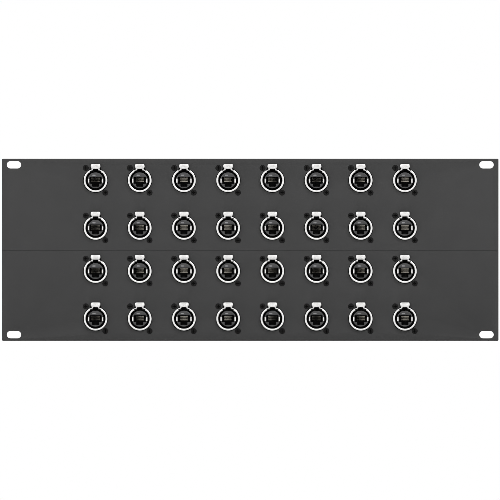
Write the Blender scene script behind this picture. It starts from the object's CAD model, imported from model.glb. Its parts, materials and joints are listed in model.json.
"""Rack patch panel with 32 latching round data sockets: the visual model.

Every piece is modelled in millimetres around its own connector centre, then placed
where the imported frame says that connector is. x runs along the panel, -y is the
front, +z is up. The panel's back face lies at y = 0.
"""

import json
import math

import bmesh
import bpy
import numpy as np
from mathutils import Matrix, Vector
from mathutils.geometry import delaunay_2d_cdt

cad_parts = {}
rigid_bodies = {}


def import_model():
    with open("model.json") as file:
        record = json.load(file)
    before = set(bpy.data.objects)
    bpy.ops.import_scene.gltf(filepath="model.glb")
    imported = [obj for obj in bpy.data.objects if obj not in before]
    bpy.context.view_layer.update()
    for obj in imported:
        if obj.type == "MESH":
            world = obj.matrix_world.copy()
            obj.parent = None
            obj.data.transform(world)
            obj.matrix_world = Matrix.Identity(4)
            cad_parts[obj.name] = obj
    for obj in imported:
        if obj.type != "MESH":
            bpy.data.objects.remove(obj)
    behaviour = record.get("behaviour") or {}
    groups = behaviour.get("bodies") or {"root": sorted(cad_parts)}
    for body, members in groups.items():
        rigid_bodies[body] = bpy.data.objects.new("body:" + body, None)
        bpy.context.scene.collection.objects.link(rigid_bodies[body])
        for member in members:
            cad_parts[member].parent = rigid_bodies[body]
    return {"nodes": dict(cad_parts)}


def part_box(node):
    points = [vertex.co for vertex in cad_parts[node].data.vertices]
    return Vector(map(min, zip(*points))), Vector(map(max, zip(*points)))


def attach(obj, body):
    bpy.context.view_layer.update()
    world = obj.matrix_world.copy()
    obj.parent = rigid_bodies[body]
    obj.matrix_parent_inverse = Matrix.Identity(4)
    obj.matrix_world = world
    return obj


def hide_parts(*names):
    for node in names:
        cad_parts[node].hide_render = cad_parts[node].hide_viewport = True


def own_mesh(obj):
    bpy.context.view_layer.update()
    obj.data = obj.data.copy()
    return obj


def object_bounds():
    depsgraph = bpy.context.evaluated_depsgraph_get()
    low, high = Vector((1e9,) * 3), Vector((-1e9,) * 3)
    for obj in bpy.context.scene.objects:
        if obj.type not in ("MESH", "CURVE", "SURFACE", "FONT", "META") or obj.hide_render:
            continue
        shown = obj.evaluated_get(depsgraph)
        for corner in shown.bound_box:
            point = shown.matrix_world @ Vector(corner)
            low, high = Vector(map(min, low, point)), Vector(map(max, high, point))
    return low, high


for old in list(bpy.data.objects):
    bpy.data.objects.remove(old)

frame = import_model()
CAD_BOX = [list(map(float, p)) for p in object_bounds()]
FIXED = "panel_assembly"
scene = bpy.context.scene
MM = 0.001
SHARP = 38.0  # degrees between faces beyond which an edge is sharp

# ------------------------------------------------------------------ main sizes (mm)
panel_low, panel_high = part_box("front_panel")
HALF_W = panel_high.x / MM
HALF_H = panel_high.z / MM
FRONT = panel_low.y / MM  # the panel's front face
RETURN_D = panel_high.y / MM  # how far back the folded edges reach

LATCH_TOP = 16.0  # above the connector centre
SCREWS = ((-9.5, 12.0), (9.5, -12.0))  # (x, z) of each connector's two screws
HINGE_Y, HINGE_Z = 3.2, 9.4
SPRING_Y = 10.9
CONTACT_PITCH = 1.02
INSERT_BACK = 7.8
HOUSING_HALF_W = 8.6
HOUSING_BOTTOM = -9.4

# Connector tag, such as its row and column, to the (x, z) of its centre.
CONNECTORS = {}
for node in frame["nodes"]:
    if node.startswith("latch_r") and "c" in node[7:]:
        low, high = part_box(node)
        CONNECTORS[node[6:]] = ((low.x + high.x) / 2 / MM, high.z / MM - LATCH_TOP)
CONNECTORS = dict(sorted(CONNECTORS.items()))


# ------------------------------------------------------------------ outlines (mm)
def polar(radius, degrees):
    """Angle from straight up, clockwise seen from the front."""
    angle = math.radians(degrees)
    return (radius * math.sin(angle), radius * math.cos(angle))


def shifted(points, centre):
    return [(centre[0] + x, centre[1] + z) for x, z in points]


def mirrored(points):
    """The same points across x = 0, in reverse order."""
    return [(-x, z) for x, z in reversed(points)]


def arc(radius, start, end, steps, centre=(0.0, 0.0)):
    points = [polar(radius, start + (end - start) * i / steps) for i in range(steps + 1)]
    return shifted(points, centre)


def circle(radius, count, centre=(0.0, 0.0), start=0.0):
    return arc(radius, start, start + 360.0, count, centre)[:-1]


def open_ring(inner, outer, gap, steps):
    """A flat ring open at the top; gap is half the opening, in degrees."""
    return arc(outer, gap, 360 - gap, steps) + arc(inner, 360 - gap, gap, steps)


def stadium(x, z, length, width, steps=14):
    radius = width / 2
    half = length / 2 - radius
    right = arc(radius, 0, 180, steps, (x + half, z))
    return right + arc(radius, 180, 360, steps, (x - half, z))


def rounded(points, radii, steps=5):
    """A polygon with its corners turned to arcs; radii is one radius or a list of them."""
    if not isinstance(radii, list):
        radii = [radii] * len(points)
    out = []
    for i, radius in enumerate(radii):
        corner = np.array(points[i], float)
        back = np.array(points[i - 1], float) - corner
        ahead = np.array(points[(i + 1) % len(points)], float) - corner
        back_length, ahead_length = np.linalg.norm(back), np.linalg.norm(ahead)
        back, ahead = back / back_length, ahead / ahead_length
        half = math.acos(float(np.clip(back @ ahead, -1, 1))) / 2
        if radius <= 1e-6 or abs(half - math.pi / 2) < 1e-3:
            out.append(tuple(corner))
            continue
        reach = min(radius / math.tan(half), 0.49 * back_length, 0.49 * ahead_length)
        radius = reach * math.tan(half)
        middle = back + ahead
        middle /= np.linalg.norm(middle)
        centre = corner + middle * (radius / math.sin(half))
        first = corner + back * reach - centre
        last = corner + ahead * reach - centre
        start = math.atan2(first[1], first[0])
        end = math.atan2(last[1], last[0])
        turn = (end - start + math.pi) % (2 * math.pi) - math.pi
        for k in range(steps + 1):
            angle = start + turn * k / steps
            out.append((centre[0] + radius * math.cos(angle),
                        centre[1] + radius * math.sin(angle)))
    return out


def bend(before, corner, after, radius):
    """Points of an arc that rounds one corner of an open path."""
    return rounded([before, corner, after], [0, radius, 0], 6)[1:-1]


def ccw(points):
    doubled = sum(
        points[i - 1][0] * points[i][1] - points[i][0] * points[i - 1][1]
        for i in range(len(points))
    )
    return list(points) if doubled > 0 else list(reversed(points))


def inset(points, distance):
    """A counter-clockwise outline moved inwards, point for point."""
    if abs(distance) < 1e-9:
        return list(points)
    old = np.array(points, float)
    before = old - np.roll(old, 1, 0)
    after = np.roll(old, -1, 0) - old
    before /= np.maximum(np.linalg.norm(before, axis=1)[:, None], 1e-9)
    after /= np.maximum(np.linalg.norm(after, axis=1)[:, None], 1e-9)
    normal_before = np.stack([-before[:, 1], before[:, 0]], 1)
    normal_after = np.stack([-after[:, 1], after[:, 0]], 1)
    share = np.maximum(1 + (normal_before * normal_after).sum(1), 0.35)
    new = old + (normal_before + normal_after) * (distance / share)[:, None]
    # a corner arc tighter than the inset closes up to one point
    flip = ((np.roll(old, -1, 0) - old) * (np.roll(new, -1, 0) - new)).sum(1) < 1e-12
    if flip.any() and not flip.all():
        count = len(old)
        start = next(i for i in range(count) if not flip[i])
        i = start
        while i < start + count:
            if flip[i % count]:
                run = [i % count]
                while flip[i % count]:
                    i += 1
                    run.append(i % count)
                new[run] = new[run].mean(0)
            i += 1
    return [tuple(point) for point in new]


def thicken(path, thickness):
    """The outline of a strip along an open path."""
    middle = np.array(path, float)
    along = np.gradient(middle, axis=0)
    along /= np.linalg.norm(along, axis=1)[:, None]
    normal = np.stack([-along[:, 1], along[:, 0]], 1)
    left = middle + normal * thickness / 2
    right = middle - normal * thickness / 2
    return [tuple(point) for point in left] + [tuple(point) for point in right[::-1]]


def wall(start, end, round_start=0.0, round_end=0.0, steps=3):
    """Levels (inset, depth) of a side from start to end with rounded edges."""
    first, last = [(0.0, start)], [(0.0, end)]
    if round_start > 0:
        turns = [math.pi / 2 * i / steps for i in range(steps + 1)]
        first = [(round_start * (1 - math.sin(a)), start + round_start * (1 - math.cos(a)))
                 for a in turns]
    if round_end > 0:
        turns = [math.pi / 2 * (1 - i / steps) for i in range(steps + 1)]
        last = [(round_end * (1 - math.sin(a)), end - round_end * (1 - math.cos(a)))
                for a in turns]
    return first + last


# ------------------------------------------------------------------ mesh building
def finish_mesh(work, mesh, angle=SHARP):
    """Writes a bmesh to a mesh and marks its sharp edges."""
    work.to_mesh(mesh)
    work.free()
    mesh.set_sharp_from_angle(angle=math.radians(angle))
    mesh.update()
    return mesh


class Shape:
    """Vertices and faces in millimetres; caps stay flat shaded, sides smooth.

    plane names the two axes that outlines lie in; depth runs along the third.
    """

    def __init__(self, plane="xz", centre=(0, 0, 0)):
        self.points, self.faces, self.flat = [], [], []
        self.plane = plane
        self.centre = centre

    def add_face(self, corners, flat):
        self.faces.append(tuple(corners))
        self.flat.append(flat)

    def add_points(self, points):
        start = len(self.points)
        self.points += points
        return list(range(start, len(self.points)))

    def ring(self, outline, depth):
        points = []
        for first, second in outline:
            spot = {"xz": (first, depth, second), "yz": (depth, first, second),
                    "xy": (first, second, depth)}[self.plane]
            points.append(tuple(c + s for c, s in zip(self.centre, spot)))
        return self.add_points(points)

    def join(self, rings):
        """Sides through successive rings; a ring of one point gives triangles."""
        for near, far in zip(rings, rings[1:]):
            count = max(len(near), len(far))
            for i in range(count):
                j = (i + 1) % count
                corners = (near[i % len(near)], near[j % len(near)],
                           far[j % len(far)], far[i % len(far)])
                self.add_face(dict.fromkeys(corners), False)

    def cap(self, pairs):
        """A flat face bounded by (outline, ring) pairs, holes included."""
        points, loops, where = [], [], []
        for outline, ring in pairs:
            loops.append(list(range(len(points), len(points) + len(outline))))
            points += [Vector(point) for point in outline]
            where += ring
        result = delaunay_2d_cdt(points, [], loops, 2, 1e-7)
        faces, sources = result[2], result[3]
        for face in faces:
            self.add_face((where[sources[i][0]] for i in face), True)

    def sides(self, outline, levels, sign):
        """The (outline, ring) pair at each level, joined up; sign -1 is for a hole."""
        base = ccw(outline)
        loops = [inset(base, sign * amount) for amount, _ in levels]
        rings = [self.ring(loop, depth) for loop, (_, depth) in zip(loops, levels)]
        self.join(rings)
        return list(zip(loops, rings))

    def mesh(self, angle=SHARP):
        work = bmesh.new()
        verts = [work.verts.new((x * MM, y * MM, z * MM)) for x, y, z in self.points]
        for corners, flat in zip(self.faces, self.flat):
            # bmesh refuses a face that repeats a corner or another face
            try:
                face = work.faces.new([verts[i] for i in corners])
                face.smooth = not flat
            except ValueError:
                pass
        bmesh.ops.remove_doubles(work, verts=work.verts, dist=1e-7)
        bmesh.ops.recalc_face_normals(work, faces=work.faces)
        return finish_mesh(work, bpy.data.meshes.new("shape"), angle)


def slab(outline, levels, plane="xz", holes=(), front=(), back=()):
    """A solid whose levels run front to back; each hole is (outline, levels).
    front and back are blind pockets: their levels start at that face."""
    shape = Shape(plane)
    walls = [shape.sides(outline, levels, 1)]
    walls += [shape.sides(*hole, -1) for hole in holes]
    first = [pairs[0] for pairs in walls]
    last = [pairs[-1] for pairs in walls]
    for pockets, face in ((front, first), (back, last)):
        for pocket in pockets:
            pairs = shape.sides(*pocket, -1)
            face.append(pairs[0])
            shape.cap([pairs[-1]])
    shape.cap(first)
    shape.cap(last)
    return shape.mesh()


def block(first, second, corner, steps, levels, plane="xz", holes=(), back=()):
    """A slab over a rectangle; first and second are its ranges along the plane's axes."""
    start, end = sorted(first)
    low, high = second
    corners = [(start, low), (end, low), (end, high), (start, high)]
    return slab(rounded(corners, corner, steps), levels, plane, holes, back=back)


def lathe(profile, count, plane="xz", centre=(0, 0, 0), angle=SHARP):
    """A full turn of (radius, depth) points that start and end on the axis."""
    shape = Shape(plane, centre)
    rings = [shape.ring([(0, 0)] if radius < 1e-6 else circle(radius, count), depth)
             for radius, depth in profile]
    shape.join(rings)
    return shape.mesh(angle)


def hinge_turned(end, count, z=HINGE_Z):
    """A turned part along x on the hinge line, alike at both ends."""
    profile = end + [(radius, -depth) for radius, depth in reversed(end)]
    return lathe(profile, count, "yz", (0, HINGE_Y, z))


def wire(path, radius, count):
    """A round wire along a 3-D path, closed at both ends."""
    shape = Shape()
    middle = np.array(path, float)
    along = np.gradient(middle, axis=0)
    along /= np.linalg.norm(along, axis=1)[:, None]
    rings = []
    for point, ahead in zip(middle, along):
        across = np.cross(np.array([0.0, 0.0, 1.0]), ahead)
        across /= np.linalg.norm(across)
        upward = np.cross(ahead, across)
        turns = [2 * math.pi * k / count for k in range(count)]
        rings.append(shape.add_points([
            tuple(point + radius * (math.cos(a) * across + math.sin(a) * upward))
            for a in turns]))
    shape.join(rings)
    for ring in (rings[0], rings[-1]):
        shape.add_face(ring, True)
    return shape.mesh()


def link(mesh):
    holder = bpy.data.objects.new("tmp", mesh)
    scene.collection.objects.link(holder)
    return holder


def combine(base, others, operation="UNION", angle=SHARP):
    """The union or difference of closed meshes, as a new mesh."""
    target = link(base)
    holders = [target]
    for other in others:
        holder = link(other)
        holders.append(holder)
        boolean = target.modifiers.new("b", "BOOLEAN")
        boolean.operation = operation
        boolean.solver = "EXACT"
        boolean.object = holder
    bpy.context.view_layer.update()
    result = bpy.data.meshes.new_from_object(
        target.evaluated_get(bpy.context.evaluated_depsgraph_get())
    )
    for holder in holders:
        bpy.data.objects.remove(holder)
    work = bmesh.new()
    work.from_mesh(result)
    bmesh.ops.remove_doubles(work, verts=work.verts, dist=2e-7)
    bmesh.ops.dissolve_degenerate(work, edges=work.edges, dist=1e-7)
    gaps = [edge for edge in work.edges if edge.is_boundary]
    if gaps:
        bmesh.ops.holes_fill(work, edges=gaps)
    bmesh.ops.triangulate(work, faces=[face for face in work.faces if len(face.verts) > 4])
    return finish_mesh(work, result, angle)


def cut(base, cutters, angle=SHARP):
    return combine(base, cutters, "DIFFERENCE", angle)


def merged(meshes):
    """Closed meshes side by side in one mesh, without a boolean."""
    work = bmesh.new()
    for mesh in meshes:
        work.from_mesh(mesh)
    return finish_mesh(work, bpy.data.meshes.new("merged"))


def moved(mesh, x=0.0, z=0.0):
    out = mesh.copy()
    out.transform(Matrix.Translation((x * MM, 0.0, z * MM)))
    return out


def centred(count, pitch):
    """Places in a row about zero."""
    return [(k - (count - 1) / 2) * pitch for k in range(count)]


def coated(mesh, *materials):
    for material in materials:
        mesh.materials.append(material)
    return mesh


def coated_by_face(mesh, materials, choose):
    """choose gives each face its index in materials."""
    coated(mesh, *materials)
    for face in mesh.polygons:
        face.material_index = choose(face)
    return mesh


# ------------------------------------------------------------------ materials
class Graph:
    """The node tree of a material or world, started empty."""

    def __init__(self, owner):
        owner.use_nodes = True
        self.tree = owner.node_tree
        self.tree.nodes.clear()

    def node(self, kind, **settings):
        made = self.tree.nodes.new("ShaderNode" + kind)
        for key, value in settings.items():
            setattr(made, key, value)
        return made

    def feed(self, socket, value):
        """Gives a socket a colour, a number or a link."""
        if isinstance(value, tuple):
            socket.default_value = (*value, 1)
        elif isinstance(value, (int, float)):
            socket.default_value = value
        else:
            self.tree.links.new(value, socket)

    def math(self, operation, first, second):
        made = self.node("Math", operation=operation)
        self.feed(made.inputs[0], first)
        self.feed(made.inputs[1], second)
        return made.outputs[0]

    def plus(self, first, second):
        return self.math("ADD", first, second)

    def times(self, value, factor):
        return self.math("MULTIPLY", value, factor)


class Material(Graph):
    """A principled material whose textures are shifted from object to object."""

    sockets = {
        "color": "Base Color",
        "rough": "Roughness",
        "metal": "Metallic",
        "normal": "Normal",
        "spec": "Specular IOR Level",
        "coat": "Coat Weight",
        "coat_rough": "Coat Roughness",
    }

    def __init__(self, name):
        self.material = bpy.data.materials.new(name)
        super().__init__(self.material)
        self.output = self.node("OutputMaterial")
        self.shader = self.node("BsdfPrincipled")
        self.feed(self.output.inputs[0], self.shader.outputs[0])
        coord = self.node("TexCoord")
        info = self.node("ObjectInfo")
        shift = self.node("VectorMath", operation="MULTIPLY_ADD")
        self.feed(shift.inputs[0], info.outputs["Random"])
        shift.inputs[1].default_value = (0.37, 0.53, 0.71)  # shift per unit of Random
        self.feed(shift.inputs[2], coord.outputs["Object"])
        self.where = shift.outputs[0]

    def noise(self, scale, detail=3.0, rough=0.55, stretch=None):
        made = self.node("TexNoise")
        made.inputs["Scale"].default_value = scale
        made.inputs["Detail"].default_value = detail
        made.inputs["Roughness"].default_value = rough
        where = self.where
        if stretch:
            mapping = self.node("Mapping")
            mapping.inputs["Scale"].default_value = stretch
            self.feed(mapping.inputs["Vector"], where)
            where = mapping.outputs[0]
        self.feed(made.inputs["Vector"], where)
        return made.outputs["Fac"]

    def cells(self, scale, feature="F1"):
        made = self.node("TexVoronoi", feature=feature)
        made.inputs["Scale"].default_value = scale
        self.feed(made.inputs["Vector"], self.where)
        return made.outputs["Distance"]

    def ramp(self, value, stops):
        """stops are (position, colour) pairs."""
        made = self.node("ValToRGB")
        elements = made.color_ramp.elements
        while len(elements) > 1:
            elements.remove(elements[-1])
        for k, (position, color) in enumerate(stops):
            element = elements[0] if k == 0 else elements.new(position)
            element.position = position
            element.color = (*color, 1)
        self.feed(made.inputs[0], value)
        return made.outputs[0]

    def remap(self, value, to, source=(0.3, 0.7)):
        """source, by default where noise mostly lies, spread over the range to."""
        made = self.node("MapRange")
        ends = (("From Min", source[0]), ("From Max", source[1]),
                ("To Min", to[0]), ("To Max", to[1]))
        for key, end in ends:
            made.inputs[key].default_value = end
        self.feed(made.inputs[0], value)
        return made.outputs[0]

    def mix(self, amount, first, second):
        made = self.node("Mix", data_type="RGBA")
        for index, value in ((0, amount), (6, first), (7, second)):
            self.feed(made.inputs[index], value)
        return made.outputs[2]

    def bump(self, height, strength, distance):
        made = self.node("Bump")
        made.inputs["Strength"].default_value = strength
        made.inputs["Distance"].default_value = distance
        self.feed(made.inputs["Height"], height)
        return made.outputs[0]

    def set(self, **values):
        for key, value in values.items():
            self.feed(self.shader.inputs[self.sockets[key]], value)
        return self.material


def scaled(color, factor):
    return tuple(c * factor for c in color)


def grey(value, blue=1.0):
    """A linear colour from an sRGB grey of 0-255, above 10; blue scales its blue."""
    linear = ((value / 255.0 + 0.055) / 1.055) ** 2.4
    return (linear, linear, linear * blue)


def paint_material():
    """Fine-textured dark grey powder coat."""
    mat = Material("panel_paint")
    cloud = mat.noise(scale=55, detail=3)
    grain = mat.noise(scale=1500, detail=4, rough=0.6)
    fleck = mat.cells(scale=2300)
    base = mat.ramp(grain, [(0.3, grey(52, blue=1.01)), (0.7, grey(61, blue=1.01))])
    base = mat.mix(0.5, base, mat.ramp(cloud, [(0.3, grey(54)), (0.7, grey(59))]))
    fleck_color = (0.16, 0.16, 0.162)
    base = mat.mix(mat.remap(fleck, to=(0.16, 0.0), source=(0.02, 0.35)), base, fleck_color)
    height = mat.plus(mat.times(mat.noise(scale=1150, detail=3, rough=0.6), factor=0.7),
                      mat.times(fleck, factor=0.5))
    return mat.set(color=base, rough=mat.remap(grain, to=(0.52, 0.7)), metal=0.0, spec=0.32,
                   normal=mat.bump(height, strength=0.35, distance=0.00012))


def nickel_material(name="nickel", tint=(0.90, 0.895, 0.885), rough=(0.13, 0.27)):
    """Bright nickel plate on die-cast metal, with faint handling marks."""
    mat = Material(name)
    haze = mat.noise(scale=260, detail=4, rough=0.6)
    lines = mat.noise(scale=900, detail=3, rough=0.6, stretch=(0.2, 1.0, 1.6))
    amount = mat.remap(haze, to=(0.0, 0.75), source=(0.35, 0.75))
    color = mat.mix(amount, tint, scaled(tint, factor=0.84))
    roughness = mat.plus(mat.remap(haze, to=rough), mat.remap(lines, to=(0.0, 0.05)))
    height = mat.plus(mat.times(lines, factor=0.5), mat.noise(scale=1900, detail=2))
    return mat.set(color=color, rough=roughness, metal=1.0,
                   normal=mat.bump(height, strength=0.1, distance=0.00004))


def plastic_material(name, level, rough, spec=0.5):
    """Moulded plastic with a fine spark-eroded texture; level is its darkest grey."""
    mat = Material(name)
    grain = mat.noise(scale=2200, detail=3, rough=0.6)
    cloud = mat.noise(scale=130, detail=3)
    dark = (level, level, level * 1.03)
    light = (level * 1.45, level * 1.45, level * 1.5)
    color = mat.mix(mat.remap(cloud, to=(0.0, 1.0)), dark, light)
    return mat.set(color=color, rough=mat.remap(grain, to=rough), metal=0.0, spec=spec,
                   normal=mat.bump(grain, strength=0.3, distance=0.00005))


def board_material():
    """Green solder mask over copper tracks."""
    mat = Material("board")
    mask, track, stain = (0.012, 0.075, 0.036), (0.03, 0.16, 0.075), (0.008, 0.05, 0.03)
    tracks = mat.cells(scale=420, feature="DISTANCE_TO_EDGE")
    edge = mat.remap(tracks, to=(1.0, 0.0), source=(0.02, 0.09))
    color = mat.mix(edge, mask, track)
    amount = mat.remap(mat.noise(scale=700, detail=3), to=(0.0, 0.35))
    color = mat.mix(amount, color, stain)
    return mat.set(color=color, rough=mat.remap(mat.noise(scale=900), to=(0.3, 0.45)),
                   metal=0.0, coat=0.3, coat_rough=0.2,
                   normal=mat.bump(edge, strength=0.4, distance=0.00003))


def screw_material():
    """Black oxide on steel."""
    mat = Material("black_screw")
    dark, light = (0.005, 0.005, 0.0055), (0.012, 0.0115, 0.011)
    cloud = mat.noise(scale=600, detail=4)
    color = mat.mix(mat.remap(cloud, to=(0.0, 1.0)), dark, light)
    grain_rough = mat.remap(cloud, to=(0.42, 0.6))
    grain = mat.noise(scale=2400, detail=3)
    return mat.set(color=color, rough=grain_rough, metal=0.2, spec=0.16,
                   normal=mat.bump(grain, strength=0.25, distance=0.00003))


def steel_material(name="steel", tint=(0.62, 0.61, 0.60), rough=(0.22, 0.38)):
    """Drawn steel, streaked along x."""
    mat = Material(name)
    drawn = mat.noise(scale=700, detail=3, rough=0.6, stretch=(0.08, 1.0, 1.0))
    color = mat.mix(mat.remap(drawn, to=(0.0, 1.0)), tint, scaled(tint, factor=0.72))
    return mat.set(color=color, rough=mat.remap(drawn, to=rough), metal=1.0,
                   normal=mat.bump(drawn, strength=0.12, distance=0.00003))


def gold_material():
    """Thin gold flash on the spring contacts."""
    mat = Material("contact_gold")
    bright, worn = (0.55, 0.515, 0.44), (0.42, 0.395, 0.35)
    wear = mat.noise(scale=1100, detail=4)
    color = mat.mix(mat.remap(wear, to=(0.0, 1.0)), bright, worn)
    return mat.set(color=color, rough=mat.remap(wear, to=(0.2, 0.36)), metal=1.0,
                   normal=mat.bump(wear, strength=0.1, distance=0.00002))


PAINT = paint_material()
NICKEL = nickel_material()
SHEET = nickel_material("shield_sheet", tint=(0.80, 0.79, 0.77), rough=(0.2, 0.36))
PLASTIC = plastic_material("black_plastic", level=0.031, rough=(0.27, 0.4), spec=0.65)
HOUSING = plastic_material("housing_plastic", level=0.024, rough=(0.4, 0.56))
MARK = plastic_material("mark_plastic", level=0.20, rough=(0.4, 0.5))
DEEP = plastic_material("deep_plastic", level=0.010, rough=(0.8, 0.95), spec=0.06)
RUBBER = plastic_material("seal_rubber", level=0.008, rough=(0.85, 0.97), spec=0.05)
BOARD = board_material()
SCREW = screw_material()
STEEL = steel_material()
LEVER = steel_material("lever_steel", tint=(0.035, 0.035, 0.036), rough=(0.4, 0.55))
GOLD = gold_material()


# ------------------------------------------------------------------ the pieces (mm)
def relief_hole():
    """Round hole with the relief above it for the release tab."""
    half, top = 4.4, 15.2
    body = arc(12.05, 25.0, 335.0, 64)
    relief = rounded([body[-1], (-half, top), (half, top), body[0]], [0, 0.9, 0.9, 0])
    return body + relief[1:-1]


def make_plate():
    """The flat panel with its connector, screw and rack holes."""
    hole_wall = wall(FRONT, 0.0, 0.12, 0.15, 2)
    countersunk = [(1.2, FRONT), (1.2, FRONT + 0.3), (0.0, FRONT + 1.5), (0.0, -0.15),
                   (0.15, 0.0)]
    holes = []
    for x, z in CONNECTORS.values():
        holes.append((shifted(relief_hole(), (x, z)), hole_wall))
        for screw_x, screw_z in SCREWS:
            holes.append((circle(1.75, 28, (x + screw_x, z + screw_z)), countersunk))
    slot_x, slot_z = 229.65, 82.55
    for side in (-1, 1):
        for level in (-1, 1):
            holes.append((stadium(side * slot_x, level * slot_z, 14.0, 7.1), hole_wall))
    return block((-HALF_W, HALF_W), (-HALF_H, HALF_H), 1.0, 5,
                 wall(FRONT, 0.0, 0.55, 0.3, 4), holes=holes)


def make_panel():
    # folded top and bottom edges, with the bend's inner radius
    top = HALF_H - 0.02
    fold, radius, half_length = 2.0, 1.2, 220.0
    inner = [(radius * (1 - math.cos(a)), top - fold - radius * (1 - math.sin(a)))
             for a in [math.radians(degrees) for degrees in (0, 18, 36, 54, 72, 90)]]
    profile = [(-0.9, top), (-0.9, top - 3.4), (0.0, top - 3.4)] + inner
    profile += [(RETURN_D - 0.25, top - fold), (RETURN_D, top - 1.75),
                (RETURN_D, top - 0.3), (RETURN_D - 0.3, top)]
    upper = slab(profile, wall(-half_length, half_length, 0.25, 0.25, 2), "yz")
    lower = upper.copy()
    lower.transform(Matrix.Scale(-1, 4, (0, 0, 1)))
    lower.flip_normals()
    panel = combine(make_plate(), [upper, lower])
    # the fine line across the front near mid height, cut as a shallow V
    line_z, wide, narrow = -0.6, 0.55, 0.06
    groove = [(FRONT - 0.6, line_z - wide), (FRONT - 0.6, line_z + wide),
              (FRONT + 0.3, line_z + narrow), (FRONT + 0.3, line_z - narrow)]
    return cut(panel, [slab(groove, wall(-HALF_W - 2, HALF_W + 2), "yz")])


def make_shell():
    """Nickel ring, flange and rear collar, all open at the top for the lever."""
    outline = [(5.9, 15.5), (13.0, 15.5), (13.0, -15.5)]
    outline = rounded(outline + mirrored(outline), [0.5, 2.2, 2.2, 2.2, 2.2, 0.5])
    inner = arc(9.62, 360 - 37.8, 37.8, 60)
    flange = slab(outline + inner, wall(0.3, 2.1, 0.15, 0.25, 2))
    parts = [slab(open_ring(9.72, 11.55, 30.8, 76), wall(-5.0, 0.9, 0.35, 0.0, 4))]
    for place in SCREWS:
        parts.append(slab(circle(2.6, 28, place, 3.0), wall(1.6, 4.7, 0.0, 0.3, 2)))
    parts.append(slab(open_ring(9.64, 10.8, 40, 68), wall(1.7, 8.0, 0.0, 0.25, 2)))
    # ribs from the flange to the rear collar: angle, half width, half height
    for angle, width, height in ((90, 1.5, 0.6), (180, 0.6, 1.5), (270, 1.5, 0.6)):
        x, z = polar(11.4, angle)
        parts.append(block((x - width, x + width), (z - height, z + height), 0.3, 2,
                           wall(1.7, 5.6, 0.0, 0.3, 2)))
    # lugs that hold the hinge pin
    lug = rounded([(1.8, 8.0), (1.8, 11.6), (3.4, 11.0), (4.5, 10.2), (4.5, 8.6), (3.9, 8.0)],
                  [0, 0, 0.5, 0.6, 0.5, 0.3], 4)
    for side in (-1, 1):
        start, end = sorted((side * 6.05, side * 7.35))
        parts.append(slab(lug, wall(start, end, 0.15, 0.15, 1), "yz"))
    bores = [hinge_turned([(0, -8.5), (0.5, -8.5)], 16)]
    bolt = [(0, -0.5), (2.0, -0.5), (1.55, 0.5), (1.55, 4.5), (2.0, 5.2), (0, 5.2)]
    bores += [lathe(bolt, 20, centre=(x, 0, z)) for x, z in SCREWS]
    return cut(combine(flange, parts), bores)


def make_gasket():
    """Thin black seal behind the panel; it closes the gaps round the ring and the tab."""
    outline = rounded(
        [(-12.7, -15.2), (12.7, -15.2), (12.7, 15.2), (5.4, 15.2),
         (5.4, 16.3), (-5.4, 16.3), (-5.4, 15.2), (-12.7, 15.2)],
        [2.0, 2.0, 2.0, 0.4, 0.5, 0.5, 0.4, 2.0], 4)
    # round the ring, then up through the lever's window
    radius, half, top = 11.56, 2.95, 13.4
    gap = math.degrees(math.asin(half / radius))
    body = arc(radius, gap, 360 - gap, 72)
    window = rounded([body[-1], (-half, top), (half, top), body[0]], [0, 0.4, 0.4, 0], 3)
    levels = [(0.03, 0.02), (0.0, 0.05), (0.0, 0.24), (0.03, 0.27)]
    holes = [body + window[1:-1]] + [circle(1.7, 20, place) for place in SCREWS]
    return slab(outline, levels, holes=[(hole, levels) for hole in holes])


# The plug opening, with the keyway for the plug's clip at the bottom.
JACK = rounded([(-3.4, -6.25), (3.4, -6.25), (3.4, -3.35), (5.85, -3.35), (5.85, 3.35),
                (-5.85, 3.35), (-5.85, -3.35), (-3.4, -3.35)],
               [0.8, 0.8, 0.2, 0.4, 0.4, 0.4, 0.4, 0.2], 3)


def insert_material(face):
    x, y, z = face.center / MM
    if y < -4.41 and z > 4.2 and abs(x + 1.55) < 1.8:
        return 1
    if y > -3.7 and (y > 5.0 or math.hypot(x, z) < 7.7):
        return 2
    return 0


def make_insert():
    front, pocket_end = -4.4, 6.9
    disc = slab(
        circle(7.75, 72), wall(front, INSERT_BACK, 0.5, 0.2, 5),
        front=[(JACK, [(0.16, front), (0.05, -4.33), (0.0, -4.2), (0.0, pocket_end)])],
    )
    collar = slab(open_ring(7.2, 9.58, 17.5, 76), wall(6.2, INSERT_BACK, 0.12, 0.2, 2))
    # catch inside the keyway for the plug's clip
    step = slab([(2.6, -6.6), (2.6, -5.5), (2.9, -5.2), (3.8, -5.2), (6.0, -6.6)],
                wall(-1.55, 1.55, 0.1, 0.1, 1), "yz")
    # raised coding mark above the opening
    mark = slab(stadium(-1.55, 4.95, 3.3, 1.15, 6), wall(-4.62, -4.0, 0.18, 0.0, 2))
    rails = [block((x - 0.35, x + 0.35), (-3.6, -3.05), 0.1, 1,
                   wall(-3.2, pocket_end, 0.2, 0.0, 2)) for x in (-4.9, 4.9)]
    body = combine(disc, [collar, step, mark] + rails)
    # the shield contacts' side windows, open at the rim
    windows = [block((side * 5.7, side * 9.0), (-2.45, 1.9), 0.25, 2, wall(-6.0, -2.6))
               for side in (-1, 1)]
    return coated_by_face(cut(body, windows), [PLASTIC, MARK, DEEP], insert_material)


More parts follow.
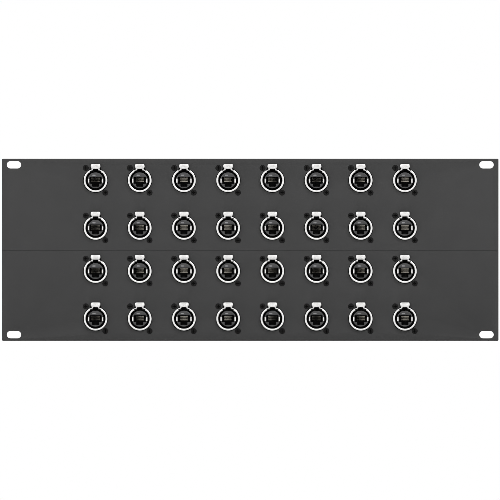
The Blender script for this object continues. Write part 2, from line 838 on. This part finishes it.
def make_shields():
    """Bent shield contacts on both sides of the plug opening."""
    path = [(5.62, 5.2), (5.5, 1.5), (5.6, -1.6)]
    path += bend((5.6, -1.6), (6.15, -3.6), (6.6, -3.9), 0.6)
    path += [(6.55, -3.9), (7.0, -3.93)]
    path += bend((7.0, -3.93), (7.42, -3.9), (7.46, -2.8), 0.3)
    path += [(7.45, -3.1)]
    return merged([
        slab(thicken([(side * x, y) for x, y in path], 0.26),
             wall(-2.25, 1.7, 0.06, 0.06, 1), "xy")
        for side in (1, -1)])


def contact_path(root, tip, end):
    """Spring contact in (y, z): along the roof of the opening, round its nose and back."""
    sign = 1 if root > tip else -1
    roof, radius, nose_z = 2.9, 0.55, 2.35
    nose = [(tip + sign * (radius - radius * math.sin(a)), nose_z + radius * math.cos(a))
            for a in [math.radians(degrees) for degrees in (0, 30, 60, 90, 115)]]
    path = [(root, roof), ((root + tip) / 2, roof)] + nose
    y, z = nose[-1]
    for k in range(1, 8):
        part = k / 7
        path.append((y + (end - y) * part, z + (-0.55 - z) * (part ** 1.1)))
    y, z = path[-1]
    return path + [(y + sign * 0.12, z - 0.3), (y + sign * 0.15, z - 0.65),
                   (y + sign * 0.2, z - 0.95)]


def make_contacts(root, tip, end):
    """Eight spring contacts side by side."""
    half = 0.46 / 2
    contact = slab(thicken(contact_path(root, tip, end), 0.24),
                   wall(-half, half, 0.06, 0.06, 1), "yz")
    return merged([moved(contact, x=x) for x in centred(8, CONTACT_PITCH)])


def make_board():
    """Contact board with two holes and three rows of soldered pins."""
    hole_levels = [(0.05, 8.1), (0.0, 8.2), (0.0, 9.6), (0.05, 9.7)]
    plate = block((-8.4, 8.4), (-8.2, 6.8), 0.9, 4, wall(8.1, 9.7, 0.08, 0.08, 1),
                  holes=[(circle(0.8, 16, (x, -6.7)), hole_levels) for x in (-6.9, 6.9)])
    pin = [(0, 7.9), (0.16, 7.92), (0.3, 8.04), (0.34, 8.2), (0.34, 9.6), (0.28, 9.76),
           (0.15, 9.86), (0, 9.88)]
    # height, number of pins, pitch
    rows = ((2.9, 8, CONTACT_PITCH), (4.7, 8, CONTACT_PITCH), (-5.2, 6, 1.7))
    pins = [lathe(pin, 8, centre=(x, 0, z))
            for z, count, pitch in rows for x in centred(count, pitch)]
    plate_faces = len(plate.polygons)
    return coated_by_face(merged([plate] + pins), [BOARD, STEEL],
                          lambda face: int(face.index >= plate_faces))


def make_housing():
    """Rear housing with its own plug opening at the back."""
    back = 28.4
    levels = [(0.95, 10.0), (0.55, 10.12), (0.38, 10.5), (0.38, 25.6), (0.32, 25.75),
              (0.05, 26.0), (0.0, 26.2), (0.0, 27.9), (0.12, 28.2), (0.45, back)]
    body = block((-HOUSING_HALF_W, HOUSING_HALF_W), (HOUSING_BOTTOM, 7.0), 1.0, 5, levels,
                 back=[(JACK, [(0.5, back), (0.2, 28.2), (0.0, 27.7), (0.0, 16.5)])])
    adds = []
    # snap noses on the sides, strengthening ribs under the block
    for side in (-1, 1):
        nose = [(8.0, 13.6), (8.0, 16.6), (8.58, 16.6), (8.58, 16.1), (8.2, 13.6)]
        adds.append(slab([(side * x, y) for x, y in nose],
                         wall(-1.6, 1.6, 0.08, 0.08, 1), "xy"))
        rib_x = side * 4.2
        adds.append(block((rib_x - 0.5, rib_x + 0.5), (-9.35, -8.6), 0.15, 2,
                          wall(10.7, 12.0, 0.2, 0.0, 2)))
    # two low ribs across the top
    for start, end in ((23.2, 24.6), (20.4, 21.8)):
        adds.append(block((-6.4, 6.4), (6.3, 6.96), 0.2, 2, wall(start, end, 0.25, 0.25, 2)))
    # dust wall behind the lever's tail
    adds.append(block((-5.3, 5.3), (6.2, 11.6), 0.5, 4, wall(12.5, 13.4, 0.15, 0.15, 1)))
    cuts = [
        # spring seat
        block((-1.3, 1.3), (5.9, 8.5), 0.25, 2, wall(9.0, 12.25)),
        # catch for the plug's clip under the opening
        block((-1.7, 1.7), (-8.0, -6.0), 0.2, 2, wall(19.5, 23.6)),
    ]
    # recesses in the sides
    for side in (-1, 1):
        for z_range in ((-7.6, -3.6), (3.2, 5.6)):
            cuts.append(block((side * 7.75, side * 9.5), z_range, 0.3, 2, wall(17.8, 23.4)))
    # slots in the top
    for x in (-5.6, -2.8, 0.0, 2.8, 5.6):
        cuts.append(block((x - 0.55, x + 0.55), (6.1, 8.0), 0.25, 2, wall(14.1, 19.3)))
    return cut(combine(body, adds), cuts)


def make_shield_can():
    """Thin plated sheet round the sides and underside of the rear housing."""
    sheet, top = 0.32, 4.9
    half, bottom = HOUSING_HALF_W, HOUSING_BOTTOM
    outer = rounded([(-half, top), (-half, bottom), (half, bottom), (half, top)],
                    [0, 1.0, 1.0, 0])
    inner = rounded([(half - sheet, top), (half - sheet, bottom + sheet),
                     (-half + sheet, bottom + sheet), (-half + sheet, top)],
                    [0, 0.7, 0.7, 0])
    can = slab(outer + inner, wall(12.6, 25.4, 0.06, 0.06, 1))
    cuts = []
    # side windows
    for side in (-1, 1):
        x_range = (side * 7.5, side * 9.5)
        cuts.append(block(x_range, (-2.0, 2.0), 0.3, 3, wall(13.3, 17.0)))
        for z_range in ((-7.2, -4.0), (3.0, 3.5)):
            cuts.append(block(x_range, z_range, 0.2, 2, wall(18.4, 23.0)))
    # pairs of narrow slits in the underside
    for x in (-5.0, 0.0, 5.0):
        for x_range in ((x - 1.3, x - 0.9), (x + 0.9, x + 1.3)):
            cuts.append(block(x_range, (-10.5, -8.5), 0.1, 1, wall(17.0, 23.5)))
    return cut(can, cuts)


def make_screw():
    """Countersunk screw with a cross recess and a ridged thread."""
    head, crest, root, angle = -1.92, 1.46, 1.2, 50
    turns, pitch = 10, 0.5
    profile = [(0.0, head), (2.4, head), (2.58, -1.88), (2.7, -1.78), (2.7, -1.66),
               (crest, -0.42), (crest, 0.0)]
    for k in range(turns):
        y = k * pitch
        profile += [(crest, y + 0.06), (root, y + 0.22), (root, y + 0.28), (crest, y + 0.44)]
    profile += [(crest, turns * pitch + 0.02), (1.15, 5.2), (0.0, 5.2)]
    body = lathe(profile, 36, angle=angle)
    arm, half = 1.65, 0.42
    cross = [(-half, -arm), (half, -arm), (half, -half), (arm, -half), (arm, half),
             (half, half), (half, arm), (-half, arm), (-half, half), (-arm, half),
             (-arm, -half), (-half, -half)]
    recess = slab(cross, [(-0.1, -2.4), (0.0, head), (0.2, -0.9), (0.36, -0.72)])
    return cut(body, [recess], angle)


def make_pin():
    return hinge_turned([(0, -7.1), (0.28, -7.08), (0.42, -6.95), (0.45, -6.75)], 20)


def make_latch():
    """Release tab in nickel, in one piece with its dark cranked lever."""
    # the tab's shoulders carry on the line of the ring
    right = arc(10.3, 14.5, 29.2, 8) + arc(11.3, 29.2, 19.0, 5)
    left = mirrored(right)
    edge = [(3.8, 10.72), (3.8, 11.1), (5.0, 13.2), (4.7, LATCH_TOP)]
    top = rounded(edge + mirrored(edge), [0, 0.35, 1.2, 2.3, 2.3, 1.2, 0.35, 0], 7)[1:-1]
    notch = rounded([left[-1], (-2.15, 11.3), (2.15, 11.3), right[0]],
                    [0, 0.35, 0.35, 0], 4)[1:-1]
    tab = slab(right + top + left + notch, wall(-4.35, -3.0, 0.35, 0.2, 4))
    # the finger pad stands a little proud, with a well rounded edge
    pad = rounded([(-3.5, 11.05), (3.5, 11.05), (4.9, 13.25), (4.6, 15.95), (-4.6, 15.95),
                   (-4.9, 13.25)], [0.7, 0.7, 1.2, 2.2, 2.2, 1.2], 7)
    ribs = [slab(stadium(0, z, length, 0.72, 6), wall(-5.0, -4.4, 0.2, 0.0, 3))
            for z, length in ((12.5, 5.0), (13.65, 5.4), (14.8, 4.4))]
    # cranked lever: from behind the tab, down behind the panel, back to the spring
    path = rounded(
        [(-3.5, 11.1), (-3.5, 12.9), (-0.4, 12.9), (1.1, 11.6), (2.4, 10.4), (12.0, 10.4),
         (12.0, 8.6), (2.1, 8.6), (-0.3, 11.1)],
        [0, 0, 0.8, 0.6, 1.2, 0.6, 0.4, 0.8, 0.8], 4)
    lever = slab(path, wall(-2.6, 2.6, 0.25, 0.25, 2), "yz")
    knuckle = hinge_turned([(0, -2.75), (1.0, -2.75), (1.15, -2.6)], 24, z=9.45)
    boss = lathe([(0, 7.95), (0.5, 8.0), (0.6, 8.15), (0.6, 8.9), (0, 8.9)], 16, "xy",
                 (0, SPRING_Y, 0))
    body = combine(tab, [slab(pad, wall(-4.82, -3.6, 0.62, 0.0, 5))] + ribs
                   + [lever, knuckle, boss])
    bore = hinge_turned([(0, -4), (0.56, -4)], 18)
    window = block((-1.2, 1.2), (5.6, 8.8), 0.4, 3, wall(7.0, 12.0), "xy")
    return coated_by_face(cut(body, [bore, window]), [NICKEL, LEVER],
                          lambda face: int(face.center.y / MM > -2.99))


def make_spring():
    """Upright coil spring under the lever's tail."""
    turns, bottom, top, radius, steps = 4.0, 6.03, 8.44, 0.88, 120
    path = []
    for i in range(steps + 1):
        part = i / steps
        # the end turns lie flat
        rise = np.clip((part - 0.16) / 0.68, 0, 1)
        z = bottom + (top - bottom) * (rise * 0.86 + part * 0.14)
        angle = 2 * math.pi * turns * part
        path.append((radius * math.cos(angle), SPRING_Y + radius * math.sin(angle), z))
    return wire(path, 0.12, 8)


# ------------------------------------------------------------------ assembling
def piece(mesh, name, centre, body=FIXED, replaced=None):
    """An object at a connector centre; a mesh is named after its first object."""
    if mesh.users == 0:
        mesh.name = "m_" + name
    placed = bpy.data.objects.new(name, mesh)
    scene.collection.objects.link(placed)
    placed.location = (centre[0] * MM, 0.0, centre[1] * MM)
    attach(placed, body)
    if replaced:
        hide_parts(replaced)
    return placed


piece(coated(make_panel(), PAINT), "panel", (0, 0), replaced="front_panel")

# name, mesh, slot, the frame's nodes that it replaces
CONNECTOR_PARTS = (
    ("shell_", coated(make_shell(), NICKEL), "nickel", "connector_shells_"),
    ("insert_", make_insert(), "black_plastic", "plug_inserts_"),
    ("rear_housing_", coated(make_housing(), HOUSING), "black_plastic", "rear_housings_"),
)
# the same, for small parts joined into one piece per row
ROW_PARTS = (
    ("seals_", coated(make_gasket(), RUBBER), "black_plastic", None),
    ("shield_contacts_", coated(make_shields(), NICKEL), "nickel", None),
    ("front_contacts_", coated(make_contacts(7.4, -2.3, -0.35), GOLD), "contact_gold", None),
    ("rear_contacts_", coated(make_contacts(15.9, 26.2, 24.3), GOLD), "contact_gold", None),
    ("boards_", make_board(), "board", "contact_boards_"),
    ("shield_cans_", coated(make_shield_can(), SHEET), "nickel", None),
    ("screws_", coated(make_screw(), SCREW), "black_screw", "panel_screws_"),
    ("hinge_pins_", coated(make_pin(), STEEL), "steel", "latch_hinge_rods_"),
)
LATCH = make_latch()
SPRING = coated(make_spring(), STEEL)

for tag, centre in CONNECTORS.items():
    for name, mesh, slot, replaced in CONNECTOR_PARTS:
        piece(mesh, name + tag, centre, replaced=replaced + tag[:2])
    piece(LATCH, "release_latch_" + tag, centre, "latch_" + tag, "latch_" + tag)
    spring = piece(SPRING, "spring_" + tag, centre)
    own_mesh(spring)

for row in ("r1", "r2", "r3", "r4"):
    centres = [place for tag, place in CONNECTORS.items() if tag.startswith(row)]
    bolts = [(x + screw_x, z + screw_z) for x, z in centres for screw_x, screw_z in SCREWS]
    for name, mesh, slot, replaced in ROW_PARTS:
        places = bolts if name == "screws_" else centres
        joined = merged([moved(mesh, x=x, z=z) for x, z in places])
        piece(coated(joined, *mesh.materials), name + row, (0, 0),
              replaced=replaced and replaced + row)


# ------------------------------------------------------------------ stage
def floor_material():
    mat = Material("floor")
    amount = mat.remap(mat.noise(scale=3.0), to=(0.0, 1.0))
    mat.set(color=mat.mix(amount, (0.80, 0.80, 0.80), (0.84, 0.84, 0.84)),
            rough=0.75, metal=0.0, spec=0.2)
    # seen almost edge-on, the floor fades into the white backdrop, so that it has no horizon
    geometry = mat.node("NewGeometry")
    path = mat.node("LightPath")
    glow = mat.node("Emission")
    blend = mat.node("MixShader")
    facing = mat.node("VectorMath", operation="DOT_PRODUCT")
    mat.feed(facing.inputs[0], geometry.outputs["Incoming"])
    mat.feed(facing.inputs[1], geometry.outputs["Normal"])
    steepness = mat.math("ABSOLUTE", facing.outputs["Value"], 0.0)
    fade = mat.remap(steepness, to=(1.0, 0.0), source=(0.09, 0.24))
    mat.feed(blend.inputs[0], mat.times(fade, path.outputs["Is Camera Ray"]))
    mat.feed(blend.inputs[1], mat.shader.outputs[0])
    mat.feed(blend.inputs[2], glow.outputs[0])
    mat.feed(mat.output.inputs[0], blend.outputs[0])
    return mat.material


def stage_floor():
    """A flat pale floor that the panel stands on."""
    half = 9.0
    z = (CAD_BOX[0][2] / MM - 0.05) * MM
    work = bmesh.new()
    rows = [[work.verts.new((x, y, z)) for x in (-half, half)] for y in (-half, 0.0, half)]
    for near, far in zip(rows, rows[1:]):
        face = work.faces.new((near[0], near[1], far[1], far[0]))
        face.smooth = True
    mesh = bpy.data.meshes.new("floor")
    work.to_mesh(mesh)
    work.free()
    floor = bpy.data.objects.new("floor", coated(mesh, floor_material()))
    scene.collection.objects.link(floor)


def stage_world():
    """White to the camera; as a light, dimmer to the sides and below."""
    world = bpy.data.worlds.new("studio")
    scene.world = world
    graph = Graph(world)
    output = graph.node("OutputWorld")
    mix = graph.node("MixShader")
    seen = graph.node("Background")
    light = graph.node("Background")
    path = graph.node("LightPath")
    coord = graph.node("TexCoord")
    split = graph.node("SeparateXYZ")
    graph.feed(split.inputs[0], coord.outputs["Generated"])

    front_falloff, front_strength, up_strength, base_strength = 2.2, 0.82, 0.35, 0.34
    depth = graph.math("ABSOLUTE", split.outputs["Y"], 0.0)
    front = graph.math("POWER", depth, front_falloff)
    above = graph.math("MAXIMUM", split.outputs["Z"], 0.0)
    above = graph.times(above, up_strength)
    level = graph.plus(graph.times(front, front_strength), above)
    level = graph.plus(level, base_strength)
    for background, strength in ((seen, 1.0), (light, level)):
        graph.feed(background.inputs["Color"], (1, 1, 1))
        graph.feed(background.inputs["Strength"], strength)
    graph.feed(mix.inputs[0], path.outputs["Is Camera Ray"])
    graph.feed(mix.inputs[1], light.outputs[0])
    graph.feed(mix.inputs[2], seen.outputs[0])
    graph.feed(output.inputs[0], mix.outputs[0])


def softbox(name, place, size, power):
    """A square area light aimed at the origin; metres and watts."""
    light = bpy.data.lights.new(name, "AREA")
    light.shape = "RECTANGLE"
    light.size = size
    light.size_y = size
    light.energy = power
    lamp = bpy.data.objects.new(name, light)
    scene.collection.objects.link(lamp)
    lamp.location = place
    lamp.rotation_euler = (-Vector(place)).to_track_quat("-Z", "Y").to_euler()


def stage_camera():
    """Straight at the front, without perspective."""
    view_margin = 1.00704935  # width of the view over the panel's
    data = bpy.data.cameras.new("camera")
    data.type = "ORTHO"
    data.ortho_scale = 2 * HALF_W * MM * view_margin
    data.clip_end = 20
    camera = bpy.data.objects.new("camera", data)
    scene.collection.objects.link(camera)
    camera.location = (-0.00023, -3.0, -0.00026)
    camera.rotation_euler = (math.radians(90), 0, 0)
    scene.camera = camera


stage_floor()
stage_world()
softbox("key", place=(1.0, -1.5, 1.35), size=0.9, power=11)
softbox("fill", place=(-1.5, -1.2, 0.7), size=1.0, power=5)
softbox("rear", place=(-0.9, 1.6, 1.3), size=1.1, power=12)
stage_camera()
scene.view_settings.view_transform = "Standard"
scene.view_settings.look = "None"
scene.view_settings.exposure = 0
scene.view_settings.gamma = 1
# Cycles is an add-on and may be off
if hasattr(scene, "cycles"):
    scene.cycles.filter_width = 0.6
